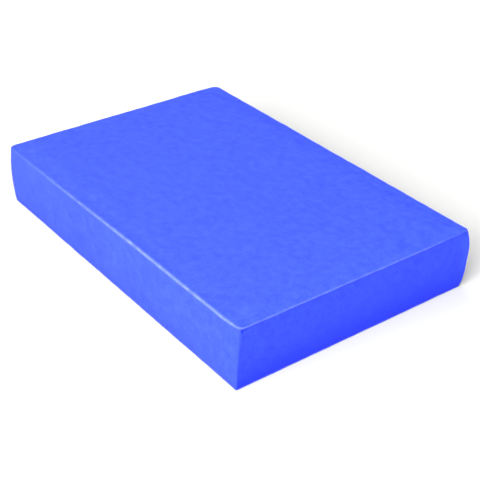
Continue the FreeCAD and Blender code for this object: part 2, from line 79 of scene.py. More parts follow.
# Plan radii of the cover's corners: at the top seam, halfway up and at the base seam. The
# corners' order is -X -Y, +X -Y, +X +Y, -X +Y, which is counter-clockwise from above.
TOP_RADII = np.array([9.5, 5.5, 4.0, 9.5]) * MM
MIDDLE_RADII = np.array([6.5, 2.2, 1.2, 6.5]) * MM
BASE_RADII = np.array([9.5, 2.0, 6.0, 9.0]) * MM
CORNER_SIGNS = np.array([(-1, -1), (1, -1), (1, 1), (-1, 1)], float)
SIDE_NORMALS = np.array([(0, -1), (1, 0), (0, 1), (-1, 0)], float)
SEAM_CORNER = 1            # the corner with the upright seam
SEAM_TURN = 0.66           # how far round that corner's arc the seam is, from 0 to 1

# ---- the plan of the cover

NEAR_CORNER = 15 * MM      # straight stretch beside a corner that moves with the corner's radius
GRID_STEP = 3 * MM         # spacing of the meshes away from seams
SEAM_STEPS = np.array([0.0, 0.08, 0.25, 0.55, 1.0, 1.8, 3.4])  # spacing beside a seam, in seam rolls


def seam_spread(centre, step):
    """Positions packed closely on both sides of a seam."""
    return [centre - step * s for s in SEAM_STEPS[:0:-1]] + [centre + step * s for s in SEAM_STEPS]


def run_positions(half):
    """Positions along a side that stay put whatever the corners' radii are."""
    end = half - NEAR_CORNER
    count = int(round(2 * end / GRID_STEP))
    even = np.linspace(-end, end, count + 1)
    if half < HALF_L:
        return list(even)
    seams = seam_spread(-GUSSET, SEAM_ROLL) + seam_spread(GUSSET, SEAM_ROLL)
    clear = (SEAM_STEPS[-1] + 1) * SEAM_ROLL
    kept = [x for x in even if abs(abs(x) - GUSSET) > clear]
    return sorted(kept + seams)


ARC_EVEN = (0, 1 / 8, 2 / 8, 3 / 8, 4 / 8)    # columns round a corner's arc, away from the seam
ARC_END = (0.94, 1.0)
ARC_SEAM = (0.02, 0.05, 0.1, 0.16)            # their distances from the seam beside it
BEFORE_SEAM, AFTER_SEAM = ([SEAM_TURN + way * step for step in ARC_SEAM] for way in (-1, 1))
ARC_STEPS = sorted([*ARC_EVEN, SEAM_TURN, *ARC_END, *BEFORE_SEAM, *AFTER_SEAM])
ARC_MIDDLE = 4             # the arc column that the corner of a panel's grid meets
NEAR_PARTS = (0.12, 1 / 3, 2 / 3)    # columns on the straight stretch beside a corner
LEAST_RADIUS = 0.4 * MM    # of a corner, however far inset


def plan_columns():
    """Every column of the cover: its kind, its corner or side, and its place there."""
    columns, grid_corners = [], []
    for k in range(4):
        half = HALF_L if k % 2 == 0 else HALF_W
        for i, turn in enumerate(ARC_STEPS):
            if i == ARC_MIDDLE:
                grid_corners.append(len(columns))
            columns.append(("arc", k, turn))
        for part in NEAR_PARTS:
            columns.append(("near", k, part))
        for place in run_positions(half):
            columns.append(("run", k, place if k < 2 else -place))
        for part in NEAR_PARTS[::-1]:
            columns.append(("next", k, part))
    return columns, grid_corners


COLUMNS, GRID_CORNERS = plan_columns()
COUNT = len(COLUMNS)


def plan(radii, inset=0.0):
    """Points and outward normals of the plan's outline, inset from the cover's outside."""
    half = np.array([HALF_L, HALF_W]) - inset
    inner = np.maximum(np.array(radii) - inset, LEAST_RADIUS)
    points, normals = [], []
    for kind, k, place in COLUMNS:
        normal = SIDE_NORMALS[k]
        axis = k % 2
        if kind == "arc":
            angle = math.pi * (1 + 0.5 * k + 0.5 * place)
            normal = np.array([math.cos(angle), math.sin(angle)])
            point = CORNER_SIGNS[k] * (half - inner[k]) + inner[k] * normal
        else:
            point = normal * half
            narrowed = half[axis] / (half + inset)[axis]
            if kind == "run":
                point[axis] = place * narrowed
            else:
                corner = k if kind == "near" else (k + 1) % 4
                arc_end = CORNER_SIGNS[corner][axis] * (half[axis] - inner[corner])
                run_end = CORNER_SIGNS[corner][axis] * (half[axis] + inset - NEAR_CORNER) * narrowed
                point[axis] = arc_end + (run_end - arc_end) * place
        points.append(point)
        normals.append(normal)
    return np.array(points), np.array(normals)


BASE_LEAN = np.array([0.7, -2.0]) * MM    # how far the base's +X -Y corner is drawn aside
TOP_DRAW = np.array([0.2, 2.2]) * MM      # how far the top's is
TOP_DRAW_REACH = 14 * MM                  # how far from that corner the top is drawn along with it


def lean(flat, share):
    """Moves points of the plan, given how far up the side they are, as the upright seam leans."""
    right = (flat[..., 0] + HALF_L) / (2 * HALF_L)
    front = (HALF_W - flat[..., 1]) / (2 * HALF_W)
    away = np.hypot(flat[..., 0] - HALF_L, flat[..., 1] + HALF_W)
    skewed = np.stack([right, right * front], axis=-1) * BASE_LEAN * (1 - share)
    return flat + skewed + TOP_DRAW * share * np.exp(-(away / TOP_DRAW_REACH) ** 2)[..., None]


def height_share(z):
    return np.clip((z - BASE_SEAM) / (TOP_SEAM - BASE_SEAM), 0, 1)


def swell(z):
    """From 0 at both seams to 1 halfway up the side."""
    return np.sin(math.pi * height_share(z))


MIDDLE_POWER = 0.7         # below 1, so that the middle's radii hold over most of the side


def radii_at(z):
    """The corners' plan radii at a height."""
    share = height_share(z)
    seams = BASE_RADII + (TOP_RADII - BASE_RADII) * share
    return seams + (MIDDLE_RADII - seams) * swell(z) ** MIDDLE_POWER


def along_outline():
    """Distance along the outline of each column, and the whole way round."""
    points, _ = plan(TOP_RADII)
    steps = np.linalg.norm(np.roll(points, -1, axis=0) - points, axis=1)
    return np.concatenate([[0], np.cumsum(steps)[:-1]]), steps.sum()


ALONG, ROUND = along_outline()


def stretch(first, last):
    """The columns from one to another, counter-clockwise."""
    return (first + np.arange((last - first) % COUNT + 1)) % COUNT


def column_at(kind, k, place):
    """The index of the column nearest to a place on a side or arc."""
    found = [i for i, c in enumerate(COLUMNS) if c[0] == kind and c[1] == k]
    return min(found, key=lambda i: abs(COLUMNS[i][2] - place))


CORNER_COLUMN = column_at("arc", SEAM_CORNER, SEAM_TURN)
ZIP_HIGH_COLUMN = column_at("run", 2, GUSSET)
ZIP_LOW_COLUMN = column_at("run", 2, -GUSSET)


def ripple(along, waves, seed):
    """An uneven wave that closes on itself round the outline, from about -1 to 1."""
    rng = np.random.default_rng(seed)
    total = np.zeros_like(along)
    for count in waves:
        phase, size = rng.uniform(0, 2 * math.pi), rng.uniform(0.6, 1.0)
        total += size * np.sin(2 * math.pi * count * along / ROUND + phase)
    return total / len(waves) ** 0.5


# ---- meshes

def mesh_object(name, vertices, faces):
    mesh = bpy.data.meshes.new(name)
    mesh.from_pydata([tuple(v) for v in vertices], [], [tuple(int(i) for i in f) for f in faces])
    mesh.validate()
    mesh.polygons.foreach_set("use_smooth", [True] * len(mesh.polygons))
    mesh.update()
    piece = bpy.data.objects.new(name, mesh)
    bpy.context.scene.collection.objects.link(piece)
    return piece


def grid_faces(rows, columns, closed=False, start=0):
    """Quads of a grid whose vertices are stored row by row."""
    faces = []
    for r in range(rows - 1):
        a, b = start + r * columns, start + (r + 1) * columns
        for c in range(columns if closed else columns - 1):
            d = (c + 1) % columns
            faces.append((a + c, a + d, b + d, b + c))
    return faces


def apply_modifiers(piece):
    bpy.context.view_layer.update()
    mesh = bpy.data.meshes.new_from_object(piece.evaluated_get(bpy.context.evaluated_depsgraph_get()))
    old = piece.data
    piece.modifiers.clear()
    piece.data = mesh
    bpy.data.meshes.remove(old)
    mesh.name = piece.name
    return piece


def finish_cloth(piece):
    """Gives a sheet one subdivision, and its thickness on its inner side."""
    smooth = piece.modifiers.new("smooth", "SUBSURF")
    smooth.levels = smooth.render_levels = 1
    smooth.boundary_smooth = "PRESERVE_CORNERS"
    solid = piece.modifiers.new("thickness", "SOLIDIFY")
    solid.thickness = CLOTH
    solid.offset = -1
    return apply_modifiers(piece)


def store(piece, name, values):
    """Stores a value for each point of a piece, which its material reads."""
    attribute = piece.data.attributes.new(name, "FLOAT", "POINT")
    attribute.data.foreach_set("value", np.asarray(values, np.float32))


def present(piece, material, body="cover", nodes=()):
    """Puts a piece in its body, hides the CAD nodes that it stands for, and gives it its material."""
    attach(piece, body)
    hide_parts(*nodes)
    piece.data.materials.clear()
    piece.data.materials.append(material)


# ---- cloth

SIM_STEP = 6 * MM          # spacing of the simulated sheets
SIM_FRAMES = 20
SIM_SEED = 7
TOP_PRESSURE = 0.5         # the foam's push behind the top and behind the sides
SIDE_PRESSURE = 6.0
TOP_SLACK = 0.003          # how much larger than its outline the top's sheet is cut, as a share
TOP_UNEVEN, SIDE_UNEVEN = 0.1 * MM, 0.02 * MM    # how uneven the sheets lie at the start


def sample(field, rows, columns):
    """Smoothly samples a coarse field at fractional rows and columns."""
    rows = np.clip(rows, 0, field.shape[0] - 1)
    columns = np.clip(columns, 0, field.shape[1] - 1)
    padded = np.pad(field, 2, mode="edge")
    r0, c0 = np.floor(rows).astype(int), np.floor(columns).astype(int)

    def weights(t):
        return (
            -0.5 * t + t**2 - 0.5 * t**3,
            1 - 2.5 * t**2 + 1.5 * t**3,
            0.5 * t + 2 * t**2 - 1.5 * t**3,
            -0.5 * t**2 + 0.5 * t**3,
        )

    wr, wc = weights(rows - r0), weights(columns - c0)
    return sum(wr[i] * wc[j] * padded[r0 + 1 + i, c0 + 1 + j] for i in range(4) for j in range(4))


def cloth_sheet(name, points, faces, pinned, pressure, slack=0.0):
    """A sheet of fabric held along its seams, with the foam's push behind it."""
    piece = mesh_object(name, points, faces)
    group = piece.vertex_groups.new(name="seams")
    group.add([int(i) for i in np.flatnonzero(pinned)], 1.0, "REPLACE")
    cloth = piece.modifiers.new("cloth", "CLOTH")
    cloth.collision_settings.use_collision = False
    cloth.point_cache.frame_start = 1
    cloth.point_cache.frame_end = SIM_FRAMES
    settings = cloth.settings
    settings.quality = 6
    settings.mass = 0.3
    settings.tension_stiffness = 30
    settings.compression_stiffness = 30
    settings.shear_stiffness = 12
    settings.bending_stiffness = 4
    settings.air_damping = 4
    settings.vertex_group_mass = "seams"
    settings.shrink_min = -slack
    settings.use_pressure = True
    settings.uniform_pressure_force = pressure
    settings.effector_weights.gravity = 0
    return piece


def settled(piece):
    """Where the simulation has left a sheet's points. The sheet is then removed."""
    evaluated = piece.evaluated_get(bpy.context.evaluated_depsgraph_get())
    points = np.empty(len(evaluated.data.vertices) * 3)
    evaluated.data.vertices.foreach_get("co", points)
    bpy.data.objects.remove(piece)
    return points.reshape(-1, 3)


def top_sheet_points():
    """A coarse sheet of the top inside its rolled edges: its places along X and Y, and its points."""
    ends = HALF_L - EDGE_ROLL, HALF_W - EDGE_ROLL
    x, y = (np.linspace(-end, end, int(round(2 * end / SIM_STEP)) + 1) for end in ends)
    grid_y, grid_x = np.meshgrid(y, x, indexing="ij")
    return x, y, np.stack([grid_x, grid_y, np.full_like(grid_x, HEIGHT)], axis=-1)


def side_sheet_points():
    """A coarse ring of the sides, opened at the upright seam: places, heights, points, normals."""
    places = ALONG[CORNER_COLUMN] + np.linspace(0, ROUND, int(round(ROUND / SIM_STEP)) + 1)
    z = np.linspace(BASE_SEAM, TOP_SEAM, int(round((TOP_SEAM - BASE_SEAM) / SIM_STEP)) + 1)
    wrapped = np.concatenate([ALONG, [ROUND]])

    def round_trip(values):
        closed = np.vstack([values, values[:1]])
        return np.stack([np.interp(places % ROUND, wrapped, closed[:, i]) for i in (0, 1)], axis=1)

    outline, normals = plan(TOP_RADII)
    out = round_trip(normals)
    out /= np.linalg.norm(out, axis=1, keepdims=True)
    points = np.empty((len(z), len(places), 3))
    points[:, :, :2] = round_trip(outline)
    points[:, :, 2] = z[:, None]
    return places, z, points, out


def corner_places(places):
    """The sheet's columns at the three corners without a seam."""
    middles = [ALONG[column_at("arc", k, 0.5)] for k in range(4) if k != SEAM_CORNER]
    return [int(np.argmin(np.abs((places - m + ROUND / 2) % ROUND - ROUND / 2))) for m in middles]


def side_pins(places, z, side):
    """The points of the side sheet that are held: seams, corners, zip and the seams at its ends."""
    pins = np.zeros(side.shape[:2], bool)
    pins[0], pins[-1], pins[:, 0], pins[:, -1] = True, True, True, True
    on_back = side[0, :, 1] > HALF_W - 1 * MM
    near_zip = np.abs(z - MIDDLE) < FOLD_HIGH - MIDDLE + SIM_STEP / 2
    pins |= near_zip[:, None] & (on_back & (np.abs(side[0, :, 0]) < GUSSET))
    for sign in (-1, 1):
        pins[:, int(np.argmin(np.abs(side[0, :, 0] - sign * GUSSET) + ~on_back))] = True
    for column in corner_places(places):
        pins[:, column] = True
    return pins


def simulate():
    """Rise of the top, and outward bulge of the sides, as fields over their coarse sheets."""
    rng = np.random.default_rng(SIM_SEED)
    x, y, top = top_sheet_points()
    start = top.copy()
    start[1:-1, 1:-1, 2] += rng.normal(0, TOP_UNEVEN, (len(y) - 2, len(x) - 2))
    held = np.ones((len(y), len(x)), bool)
    held[1:-1, 1:-1] = False
    top_piece = cloth_sheet("top_sheet", start.reshape(-1, 3), grid_faces(len(y), len(x)),
                            held.ravel(), TOP_PRESSURE, TOP_SLACK)
    places, z, side, out = side_sheet_points()
    held = side_pins(places, z, side)
    push = np.where(held, 0, rng.normal(0, SIDE_UNEVEN, side.shape[:2]))
    for column in corner_places(places):
        push[:, column] = CORNER_BULGE * swell(z)
    start = side.copy()
    start[:, :, :2] += push[:, :, None] * out
    side_piece = cloth_sheet("side_sheet", start.reshape(-1, 3), grid_faces(len(z), len(places)),
                             held.ravel(), SIDE_PRESSURE)
    scene = bpy.context.scene
    for number in range(1, SIM_FRAMES + 1):
        scene.frame_set(number)
    rise = settled(top_piece).reshape(top.shape)[:, :, 2] - HEIGHT
    bulge = ((settled(side_piece).reshape(side.shape) - side)[:, :, :2] * out).sum(-1)
    scene.frame_set(1)
    return x, y, rise, places, z, bulge


TOP_X, TOP_Y, TOP_RISE, SIDE_PLACES, SIDE_Z, SIDE_OUT = simulate()


def soft_cap(rise, cap):
    return np.where(rise > 0, cap * np.tanh(rise / cap), SINK * np.tanh(rise / SINK))


def fade_in(distance, reach):
    """A smooth step from 0 to 1 over a distance."""
    share = np.clip(distance / reach, 0, 1)
    return share**2 * (3 - 2 * share)


def top_rise(x, y):
    rows = (y - TOP_Y[0]) / (TOP_Y[1] - TOP_Y[0])
    columns = (x - TOP_X[0]) / (TOP_X[1] - TOP_X[0])
    return soft_cap(sample(TOP_RISE, rows, columns), CROWN)


def side_bulge(columns, z):
    """Outward bulge of some columns at some heights."""
    travelled = (ALONG[columns] - SIDE_PLACES[0]) % ROUND
    if columns[-1] == CORNER_COLUMN:
        travelled[-1] = ROUND
    places = travelled / (SIDE_PLACES[1] - SIDE_PLACES[0])
    rows = (z - SIDE_Z[0]) / (SIDE_Z[1] - SIDE_Z[0])
    grid_r, grid_c = np.meshgrid(rows, places, indexing="ij")
    return soft_cap(sample(SIDE_OUT, grid_r, grid_c), SIDE_BULGE)


PUSH = 1.8 * MM            # how far the foam stands out high up at the +X +Y corner
PUSH_REACH = 12 * MM       # how far that reaches along the outline
PUSH_HEIGHT, PUSH_SPREAD = 0.78, 0.22    # its middle and its reach, as shares of the side's height


def corner_push(columns, z):
    """How much further the foam stands out at the +X +Y corner."""
    middle = ALONG[column_at("arc", 2, 0.5)]
    away = np.abs((ALONG[columns] - middle + ROUND / 2) % ROUND - ROUND / 2)
    upright = np.exp(-((height_share(z) - PUSH_HEIGHT) / PUSH_SPREAD) ** 2)
    return np.outer(upright, PUSH * np.exp(-(away / PUSH_REACH) ** 2))


# ---- the cover's pieces

PUCKER = 0.12 * MM         # height of the puckers that the stitching draws up beside a seam
PUCKER_REACH = 6 * MM      # how far from the seam they fade
PUCKERS = ripple(ALONG, (61, 74, 88, 103, 47), seed=3)
WANDER = 0.22 * MM * ripple(ALONG, (9, 14, 23, 31, 44), seed=5)    # the seams' unevenness in height
WANDER_REACH = 5 * MM      # how far from the seam it fades
# How far the top's edges are drawn down between its corners: -Y, +X, +Y and -X side.
SHOULDERS = np.array([0.0, 0.9, 0.3, 0.6]) * MM
SHOULDER_REACH = 4.5 * MM
FRONT_RISE = 1.4 * MM      # how far the -Y edge stands up, most of all right of its middle
FRONT_PLACE, FRONT_SPREAD, FRONT_DEPTH = 50 * MM, 90 * MM, 10 * MM    # where, how widely, how far in
SEAM_SHARE = 0.5           # how much of an edge's rise or drop the seam below follows
EAR_REACH = 8 * MM         # how far from the +X corners the top stands at its full height
DIMPLE = 3.0 * MM          # depth of the dimple where three seams meet
DIMPLE_REACH = 4 * MM, 1.7 * MM    # its reach along the seam and down the side
STITCH_GROOVE = 0.16 * MM  # depth of the channel that the topstitching pulls in
STITCH_REACH = 0.9 * MM    # half its width
STITCH_STEPS = (-2, -1.2, -0.6, 0, 0.6, 1.2, 2)    # rows across it, in half widths
STITCH_CLEAR = 2.5         # how far the other rows keep away
SEAM_WEAR_HIGHLIGHT, BAND_WEAR_HIGHLIGHT = 0.6, 0.15    # wear and painted highlight on the turn into a seam, on a panel and on a band
BAND_WEAR_HIGHLIGHT_REACH = 1.2 * MM
PUCKER_WEAR_HIGHLIGHT = 0.3          # how unevenly the puckers are worn and carry the painted highlight

# Soft creases in the top: start, end, depth and half width.
CREASES = (
    ((-22, -60), (6, -38), 0.20, 2.2),
    ((198, -112), (214, -88), 0.12, 4.0),
    ((176, -124), (204, -131), 0.10, 3.2),
    ((40, -128), (74, -124), 0.12, 2.6),
    ((-150, 60), (-128, 92), 0.10, 4.0),
)
CREASE_FADE = 0.3          # the share of a crease's length over which each end fades


def seam_turn(distance, roll):
    """How far the fabric has turned in at a distance from its seam: a quarter circle."""
    inside = np.clip(roll - distance, 0, roll)
    return roll - np.sqrt(np.maximum(roll**2 - inside**2, 0))


def edge_drop(x, y):
    """How far the top's edge is drawn down. The two sharp corners stay up as small ears."""
    ears = sum(np.exp(-(np.hypot(x - HALF_L, y - s * HALF_W) / EAR_REACH) ** 2) for s in (-1, 1))
    inside = (HALF_W + y, HALF_L - x, HALF_W - y, HALF_L + x)
    total = sum(drop * np.exp(-(away / SHOULDER_REACH) ** 2) for drop, away in zip(SHOULDERS, inside))
    front = np.exp(-((x - FRONT_PLACE) / FRONT_SPREAD) ** 2 - ((HALF_W + y) / FRONT_DEPTH) ** 2)
    return total * (1 - ears) - FRONT_RISE * front


def creases(x, y):
    """Depth of the soft creases in the top."""
    total = np.zeros(np.shape(x))
    for start, end, depth, half_width in CREASES:
        start, end = np.array(start) * MM, np.array(end) * MM
        length = np.linalg.norm(end - start)
        way = (end - start) / length
        along = (x - start[0]) * way[0] + (y - start[1]) * way[1]
        across = (x - start[0]) * -way[1] + (y - start[1]) * way[0]
        ends = np.clip(np.minimum(along, length - along) / (CREASE_FADE * length) + 0.5, 0, 1)
        total += depth * MM * ends * np.exp(-(across / (half_width * MM)) ** 2)
    return total


def panel_profile():
    """Rows of a panel's edge from the seam inwards: (inset, inset of a wide roll, drop, wear and
    painted highlight).
    """
    rows = [(SEAM_ROLL + TUCK, SEAM_ROLL + TUCK, RIM, 0.0)]
    for angle in np.linspace(90, 0, 5):
        turn = math.radians(angle)
        inset = SEAM_ROLL * (1 - math.cos(turn))
        rows.append((inset, inset, RIM - SEAM_ROLL * (1 - math.sin(turn)), SEAM_WEAR_HIGHLIGHT))
    for angle in np.linspace(0, 90, 9):
        turn = math.radians(angle)
        inset, drop = (EDGE_ROLL * (1 - part) for part in (math.cos(turn), math.sin(turn)))
        rows.append((inset, inset * WIDE_ROLL / EDGE_ROLL, drop, math.cos(turn)))
    return rows


def softer_side():
    """1 for the columns along the -Y side, falling to 0 round its corners, and 0 elsewhere."""
    share = np.zeros(COUNT)
    for i, (kind, k, place) in enumerate(COLUMNS):
        if k == 0 and kind == "run":
            share[i] = 1
        elif k == 0 and kind in ("near", "next"):
            share[i] = place
    return share


def inner_rectangle(inset):
    """The columns' places on the rectangle where a panel's plain grid starts."""
    half = np.array([HALF_L, HALF_W]) - inset
    points = np.empty((COUNT, 2))
    for k in range(4):
        members = stretch(GRID_CORNERS[k], GRID_CORNERS[(k + 1) % 4])
        travelled = (ALONG[members] - ALONG[members[0]]) % ROUND
        share = (travelled / travelled[-1])[:, None]
        corner_a, corner_b = CORNER_SIGNS[k] * half, CORNER_SIGNS[(k + 1) % 4] * half
        points[members] = corner_a + (corner_b - corner_a) * share
    return points


GRID_INSET = 14 * MM       # where a panel's rings end and its plain grid starts
RING_SHARES = (0.05, 0.12, 0.22, 0.34, 0.5, 0.7, 0.85)


def panel_rings(radii, tuck):
    """A flat panel's rings of points from its seam inwards, their wear and painted highlight, and the
    last one's plan.
    """
    rings, wear_and_highlight = [], []
    wide = softer_side()[:, None]
    for inset, wide_inset, drop, worn_and_lit in panel_profile():
        flat = plan(radii, inset + tuck)[0] * (1 - wide) + plan(radii, wide_inset + tuck)[0] * wide
        rings.append(np.column_stack([flat, np.full(COUNT, -drop)]))
        wear_and_highlight.append(worn_and_lit)
    outer, rim = rings[-1][:, :2], inner_rectangle(GRID_INSET)
    for share in RING_SHARES:
        rings.append(np.column_stack([outer + (rim - outer) * share, np.zeros(COUNT)]))
        wear_and_highlight.append(0.0)
    return np.array(rings), wear_and_highlight, rim


def panel_faces(rings, span_x, span_y):
    """Faces of a panel: its rings, its plain grid, and the strip that joins the two."""
    base, width = rings * COUNT, span_x + 1
    grid = base + np.arange(width * (span_y + 1)).reshape(-1, width)
    border = np.concatenate([grid[0, :-1], grid[:-1, -1], grid[-1, :0:-1], grid[:0:-1, 0]])
    faces = grid_faces(rings, COUNT, closed=True) + grid_faces(span_y + 1, width, start=base)
    last = base - COUNT
    for i in range(COUNT):
        n = (i + 1) % COUNT
        faces.append((last + i, last + n, border[n], border[i]))
    return faces


def panel_grid(radii, tuck):
    """A flat panel with a rolled edge: vertices, their columns, which are in rings, wear and painted
    highlight, and faces.
    """
    rings, wear_and_highlight, rim = panel_rings(radii, tuck)
    span_x = GRID_CORNERS[1] - GRID_CORNERS[0]
    span_y = GRID_CORNERS[2] - GRID_CORNERS[1]
    order = (GRID_CORNERS[0] + np.arange(COUNT)) % COUNT
    ring = rim[order]
    side_x, side_y = ring[:span_x + 1, 0], ring[span_x:span_x + span_y + 1, 1]
    grid_y, grid_x = np.meshgrid(side_y, side_x, indexing="ij")
    inner = np.stack([grid_x, grid_y, np.zeros_like(grid_x)], axis=-1).reshape(-1, 3)
    vertices = np.vstack([rings[:, order].reshape(-1, 3), inner])
    columns = np.concatenate([np.tile(order, len(rings)), np.zeros(len(inner), int)])
    beside = np.arange(len(vertices)) < len(rings) * COUNT
    worn_and_lit = np.concatenate([np.repeat(wear_and_highlight, COUNT), np.zeros(len(inner))])
    return vertices, columns, beside, worn_and_lit, panel_faces(len(rings), span_x, span_y)


LOW_SHADE, LOW_REACH = 0.3, 3.5 * MM      # painted shade right at the floor, and how far up it fades
HIGH_SHADE, HIGH_REACH = 0.15, 24 * MM    # and the fainter painted shade higher up, darker towards the bottom of the sides
SHORT_BAND_SHADE = 0.35       # how much more of that painted shade the short band, the side in shade, has
SEAM_SHADOW, SEAM_SHADOW_REACH = 0.3, 1.6 * MM    # painted shadow: a dark line under the short band's top seam
HOLLOW_SHADE = 0.45        # painted shade in its dimple
# Most painted shade that any point gets.
MOST_SHADE = 0.8


def paint_shade(piece, heights, hollow=0):
    """Stores how much painted shade a piece has near the floor and, on the short band, under its top
    seam and in its dimple.
    """
    heights = np.asarray(heights)
    low, high = (np.exp(-(heights / reach) ** 2) for reach in (LOW_REACH, HIGH_REACH))
    painted_shade = LOW_SHADE * low + HIGH_SHADE * high
    # The short band gets more painted shade, a painted shadow under its top seam and painted shade in
    # its dimple.
    if piece.name == "short_band":
        under_seam = np.exp(-((TOP_SEAM - heights) / SEAM_SHADOW_REACH) ** 2)
        painted_shade += SHORT_BAND_SHADE * high + SEAM_SHADOW * under_seam + HOLLOW_SHADE * hollow
    store(piece, "painted_shade", np.clip(painted_shade, 0, MOST_SHADE))


HIGHLIGHT_RUB_LENGTH = 1.25 * HALF_L    # how far from the -X end the edges reach full wear and painted highlight, 0.1 of it at the end
HIGHLIGHT_RUB_DEPTH = 0.4 * HALF_W      # and how far from the +Y side, 0.3 of it there
HIGHLIGHT_RUB_REACH = 12 * MM           # how near the +X side the edge has less wear and painted highlight, down to 0.7


def rub_and_highlight(x, y):
    """How much the edges have rubbed and carry a painted highlight, less towards the ends away from the
    +X -Y corner.
    """
    along = np.clip((x + HALF_L) / HIGHLIGHT_RUB_LENGTH, 0.1, 1)
    at_end = 0.7 + 0.3 * np.clip((HALF_L - x) / HIGHLIGHT_RUB_REACH, 0, 1)
    return along * at_end * np.clip((HALF_W - y) / HIGHLIGHT_RUB_DEPTH, 0.3, 1)


def build_panel(name, top):
    """The top panel, or the base panel, which mirrors it and lies flat on the floor."""
    radii, tuck = (TOP_RADII, 0) if top else (BASE_RADII, BASE_TUCK)
    vertices, columns, beside, worn_and_lit, faces = panel_grid(radii, tuck)
    x, y, z = vertices.T
    away = np.minimum(HALF_L - np.abs(x), HALF_W - np.abs(y))
    above_seam = np.clip(1 + z / RIM, 0, 1)
    puckers = PUCKER * PUCKERS[columns] * beside * np.exp(-(away / PUCKER_REACH) ** 2)
    lift = (WANDER if top else -WANDER)[columns] * beside * np.exp(-(away / WANDER_REACH) ** 2)
    if top:
        lift += above_seam * (puckers - creases(x, y))
        lift -= (SEAM_SHARE + (1 - SEAM_SHARE) * above_seam) * edge_drop(x, y)
        lift += top_rise(x, y) * fade_in(away, CROWN_START)
        z = HEIGHT + z + lift
    else:
        z = np.maximum(-(z + lift), 0)
        faces = [face[::-1] for face in faces]
    x, y = lean(np.column_stack([x, y]), 1 if top else 0).T
    piece = mesh_object(name, np.column_stack([x, y, z]), faces)
    # Wear and a painted highlight along the rolled edges.
    store(piece, "wear_and_highlight", worn_and_lit * rub_and_highlight(x, y) * (1 + PUCKER_WEAR_HIGHLIGHT * PUCKERS[columns]))
    # Painted shade near the floor.
    paint_shade(piece, z)
    return finish_cloth(piece)


def edge_rows(edge, level, way):
    """Rows of a band from far inside its edge out to its face: (height, inset).

    way is 1 at a lower edge, where the face lies above, and -1 at an upper one."""
    roll = SEAM_ROLL if edge == "seam" else FOLD_ROLL
    if edge == "seam":
        rows = [(level, roll + TUCK)]
        angles = np.linspace(90, 0, 6)
    else:
        rows = [(level + way * HEM, 2 * roll), (level + way * 3 * roll, 2 * roll)]
        angles = np.linspace(180, 0, 11)
    for angle in angles:
        turn = math.radians(angle)
        rows.append((level + way * roll * (1 - math.sin(turn)), roll * (1 - math.cos(turn))))
    rows += [(level + way * roll * s, 0.0) for s in SEAM_STEPS[5:]]
    return rows


def band_rows(low, high, edges):
    """All rows of a band from its lower edge to its upper one."""
    bottom = edge_rows(edges[0], low, 1)
    top = edge_rows(edges[1], high, -1)[::-1]
    first, last = bottom[-1][0], top[0][0]
    count = int(round((last - first) / GRID_STEP))
    face = list(np.linspace(first, last, count + 1)[1:-1])
    for stitch in (STITCH_LOW, STITCH_HIGH):
        if low < stitch < high and "fold" in edges:
            face = [z for z in face if abs(z - stitch) > STITCH_CLEAR * STITCH_REACH]
            face += [stitch + STITCH_REACH * s for s in STITCH_STEPS]
    return np.array(bottom + [(z, 0.0) for z in sorted(face)] + top)


def dimple(travelled, level, name):
    """Depth of the dimple beside the upright seam, just under the top seam."""
    if name != "short_band":
        return np.zeros(len(travelled))
    beside = (travelled - DIMPLE_REACH[0]) / DIMPLE_REACH[0]
    under = (TOP_SEAM - level - DIMPLE_REACH[1]) / DIMPLE_REACH[1]
    return DIMPLE * np.exp(-(beside**2 + under**2))


def band_relief(columns, z, low, high, from_seam):
    """How far out a band's face lies from the plan's outline."""
    out = side_bulge(columns, z) + corner_push(columns, z)
    out += PUCKER * PUCKERS[columns] * np.exp(-(from_seam / PUCKER_REACH) ** 2)
    out *= np.clip((np.minimum(z - low, high - z) / (2 * SEAM_ROLL)), 0, 1)[:, None]
    return out - BASE_TUCK * np.clip(1 - (z - BASE_SEAM) / BASE_TUCK_REACH, 0, 1)[:, None] ** 2


def band_points(name, columns, travelled, rows, out, from_base, from_top):
    """A band's points row by row, and how far into the dimple each one is."""
    grid, hollow = np.empty((*out.shape, 3)), np.empty(out.shape)
    for r, (level, inset) in enumerate(rows):
        flat, normals = (values[columns] for values in plan(radii_at(level)))
        spot = lean(flat + normals * out[r][:, None], height_share(level))
        dent = dimple(travelled, level, name) * (inset == 0)
        hollow[r] = dent / DIMPLE
        grid[r, :, :2] = spot - normals * dent[:, None]
        lift = WANDER[columns] * np.exp(-(from_top[r] / WANDER_REACH) ** 2)
        if level > BASE_SEAM + SEAM_ROLL:
            lift += WANDER[columns] * np.exp(-(from_base[r] / WANDER_REACH) ** 2)
        drop = edge_drop(flat[:, 0], flat[:, 1]) * np.exp(-(from_top[r] / SHOULDER_REACH) ** 2)
        grid[r, :, 2] = level + lift - SEAM_SHARE * drop
    return grid, hollow


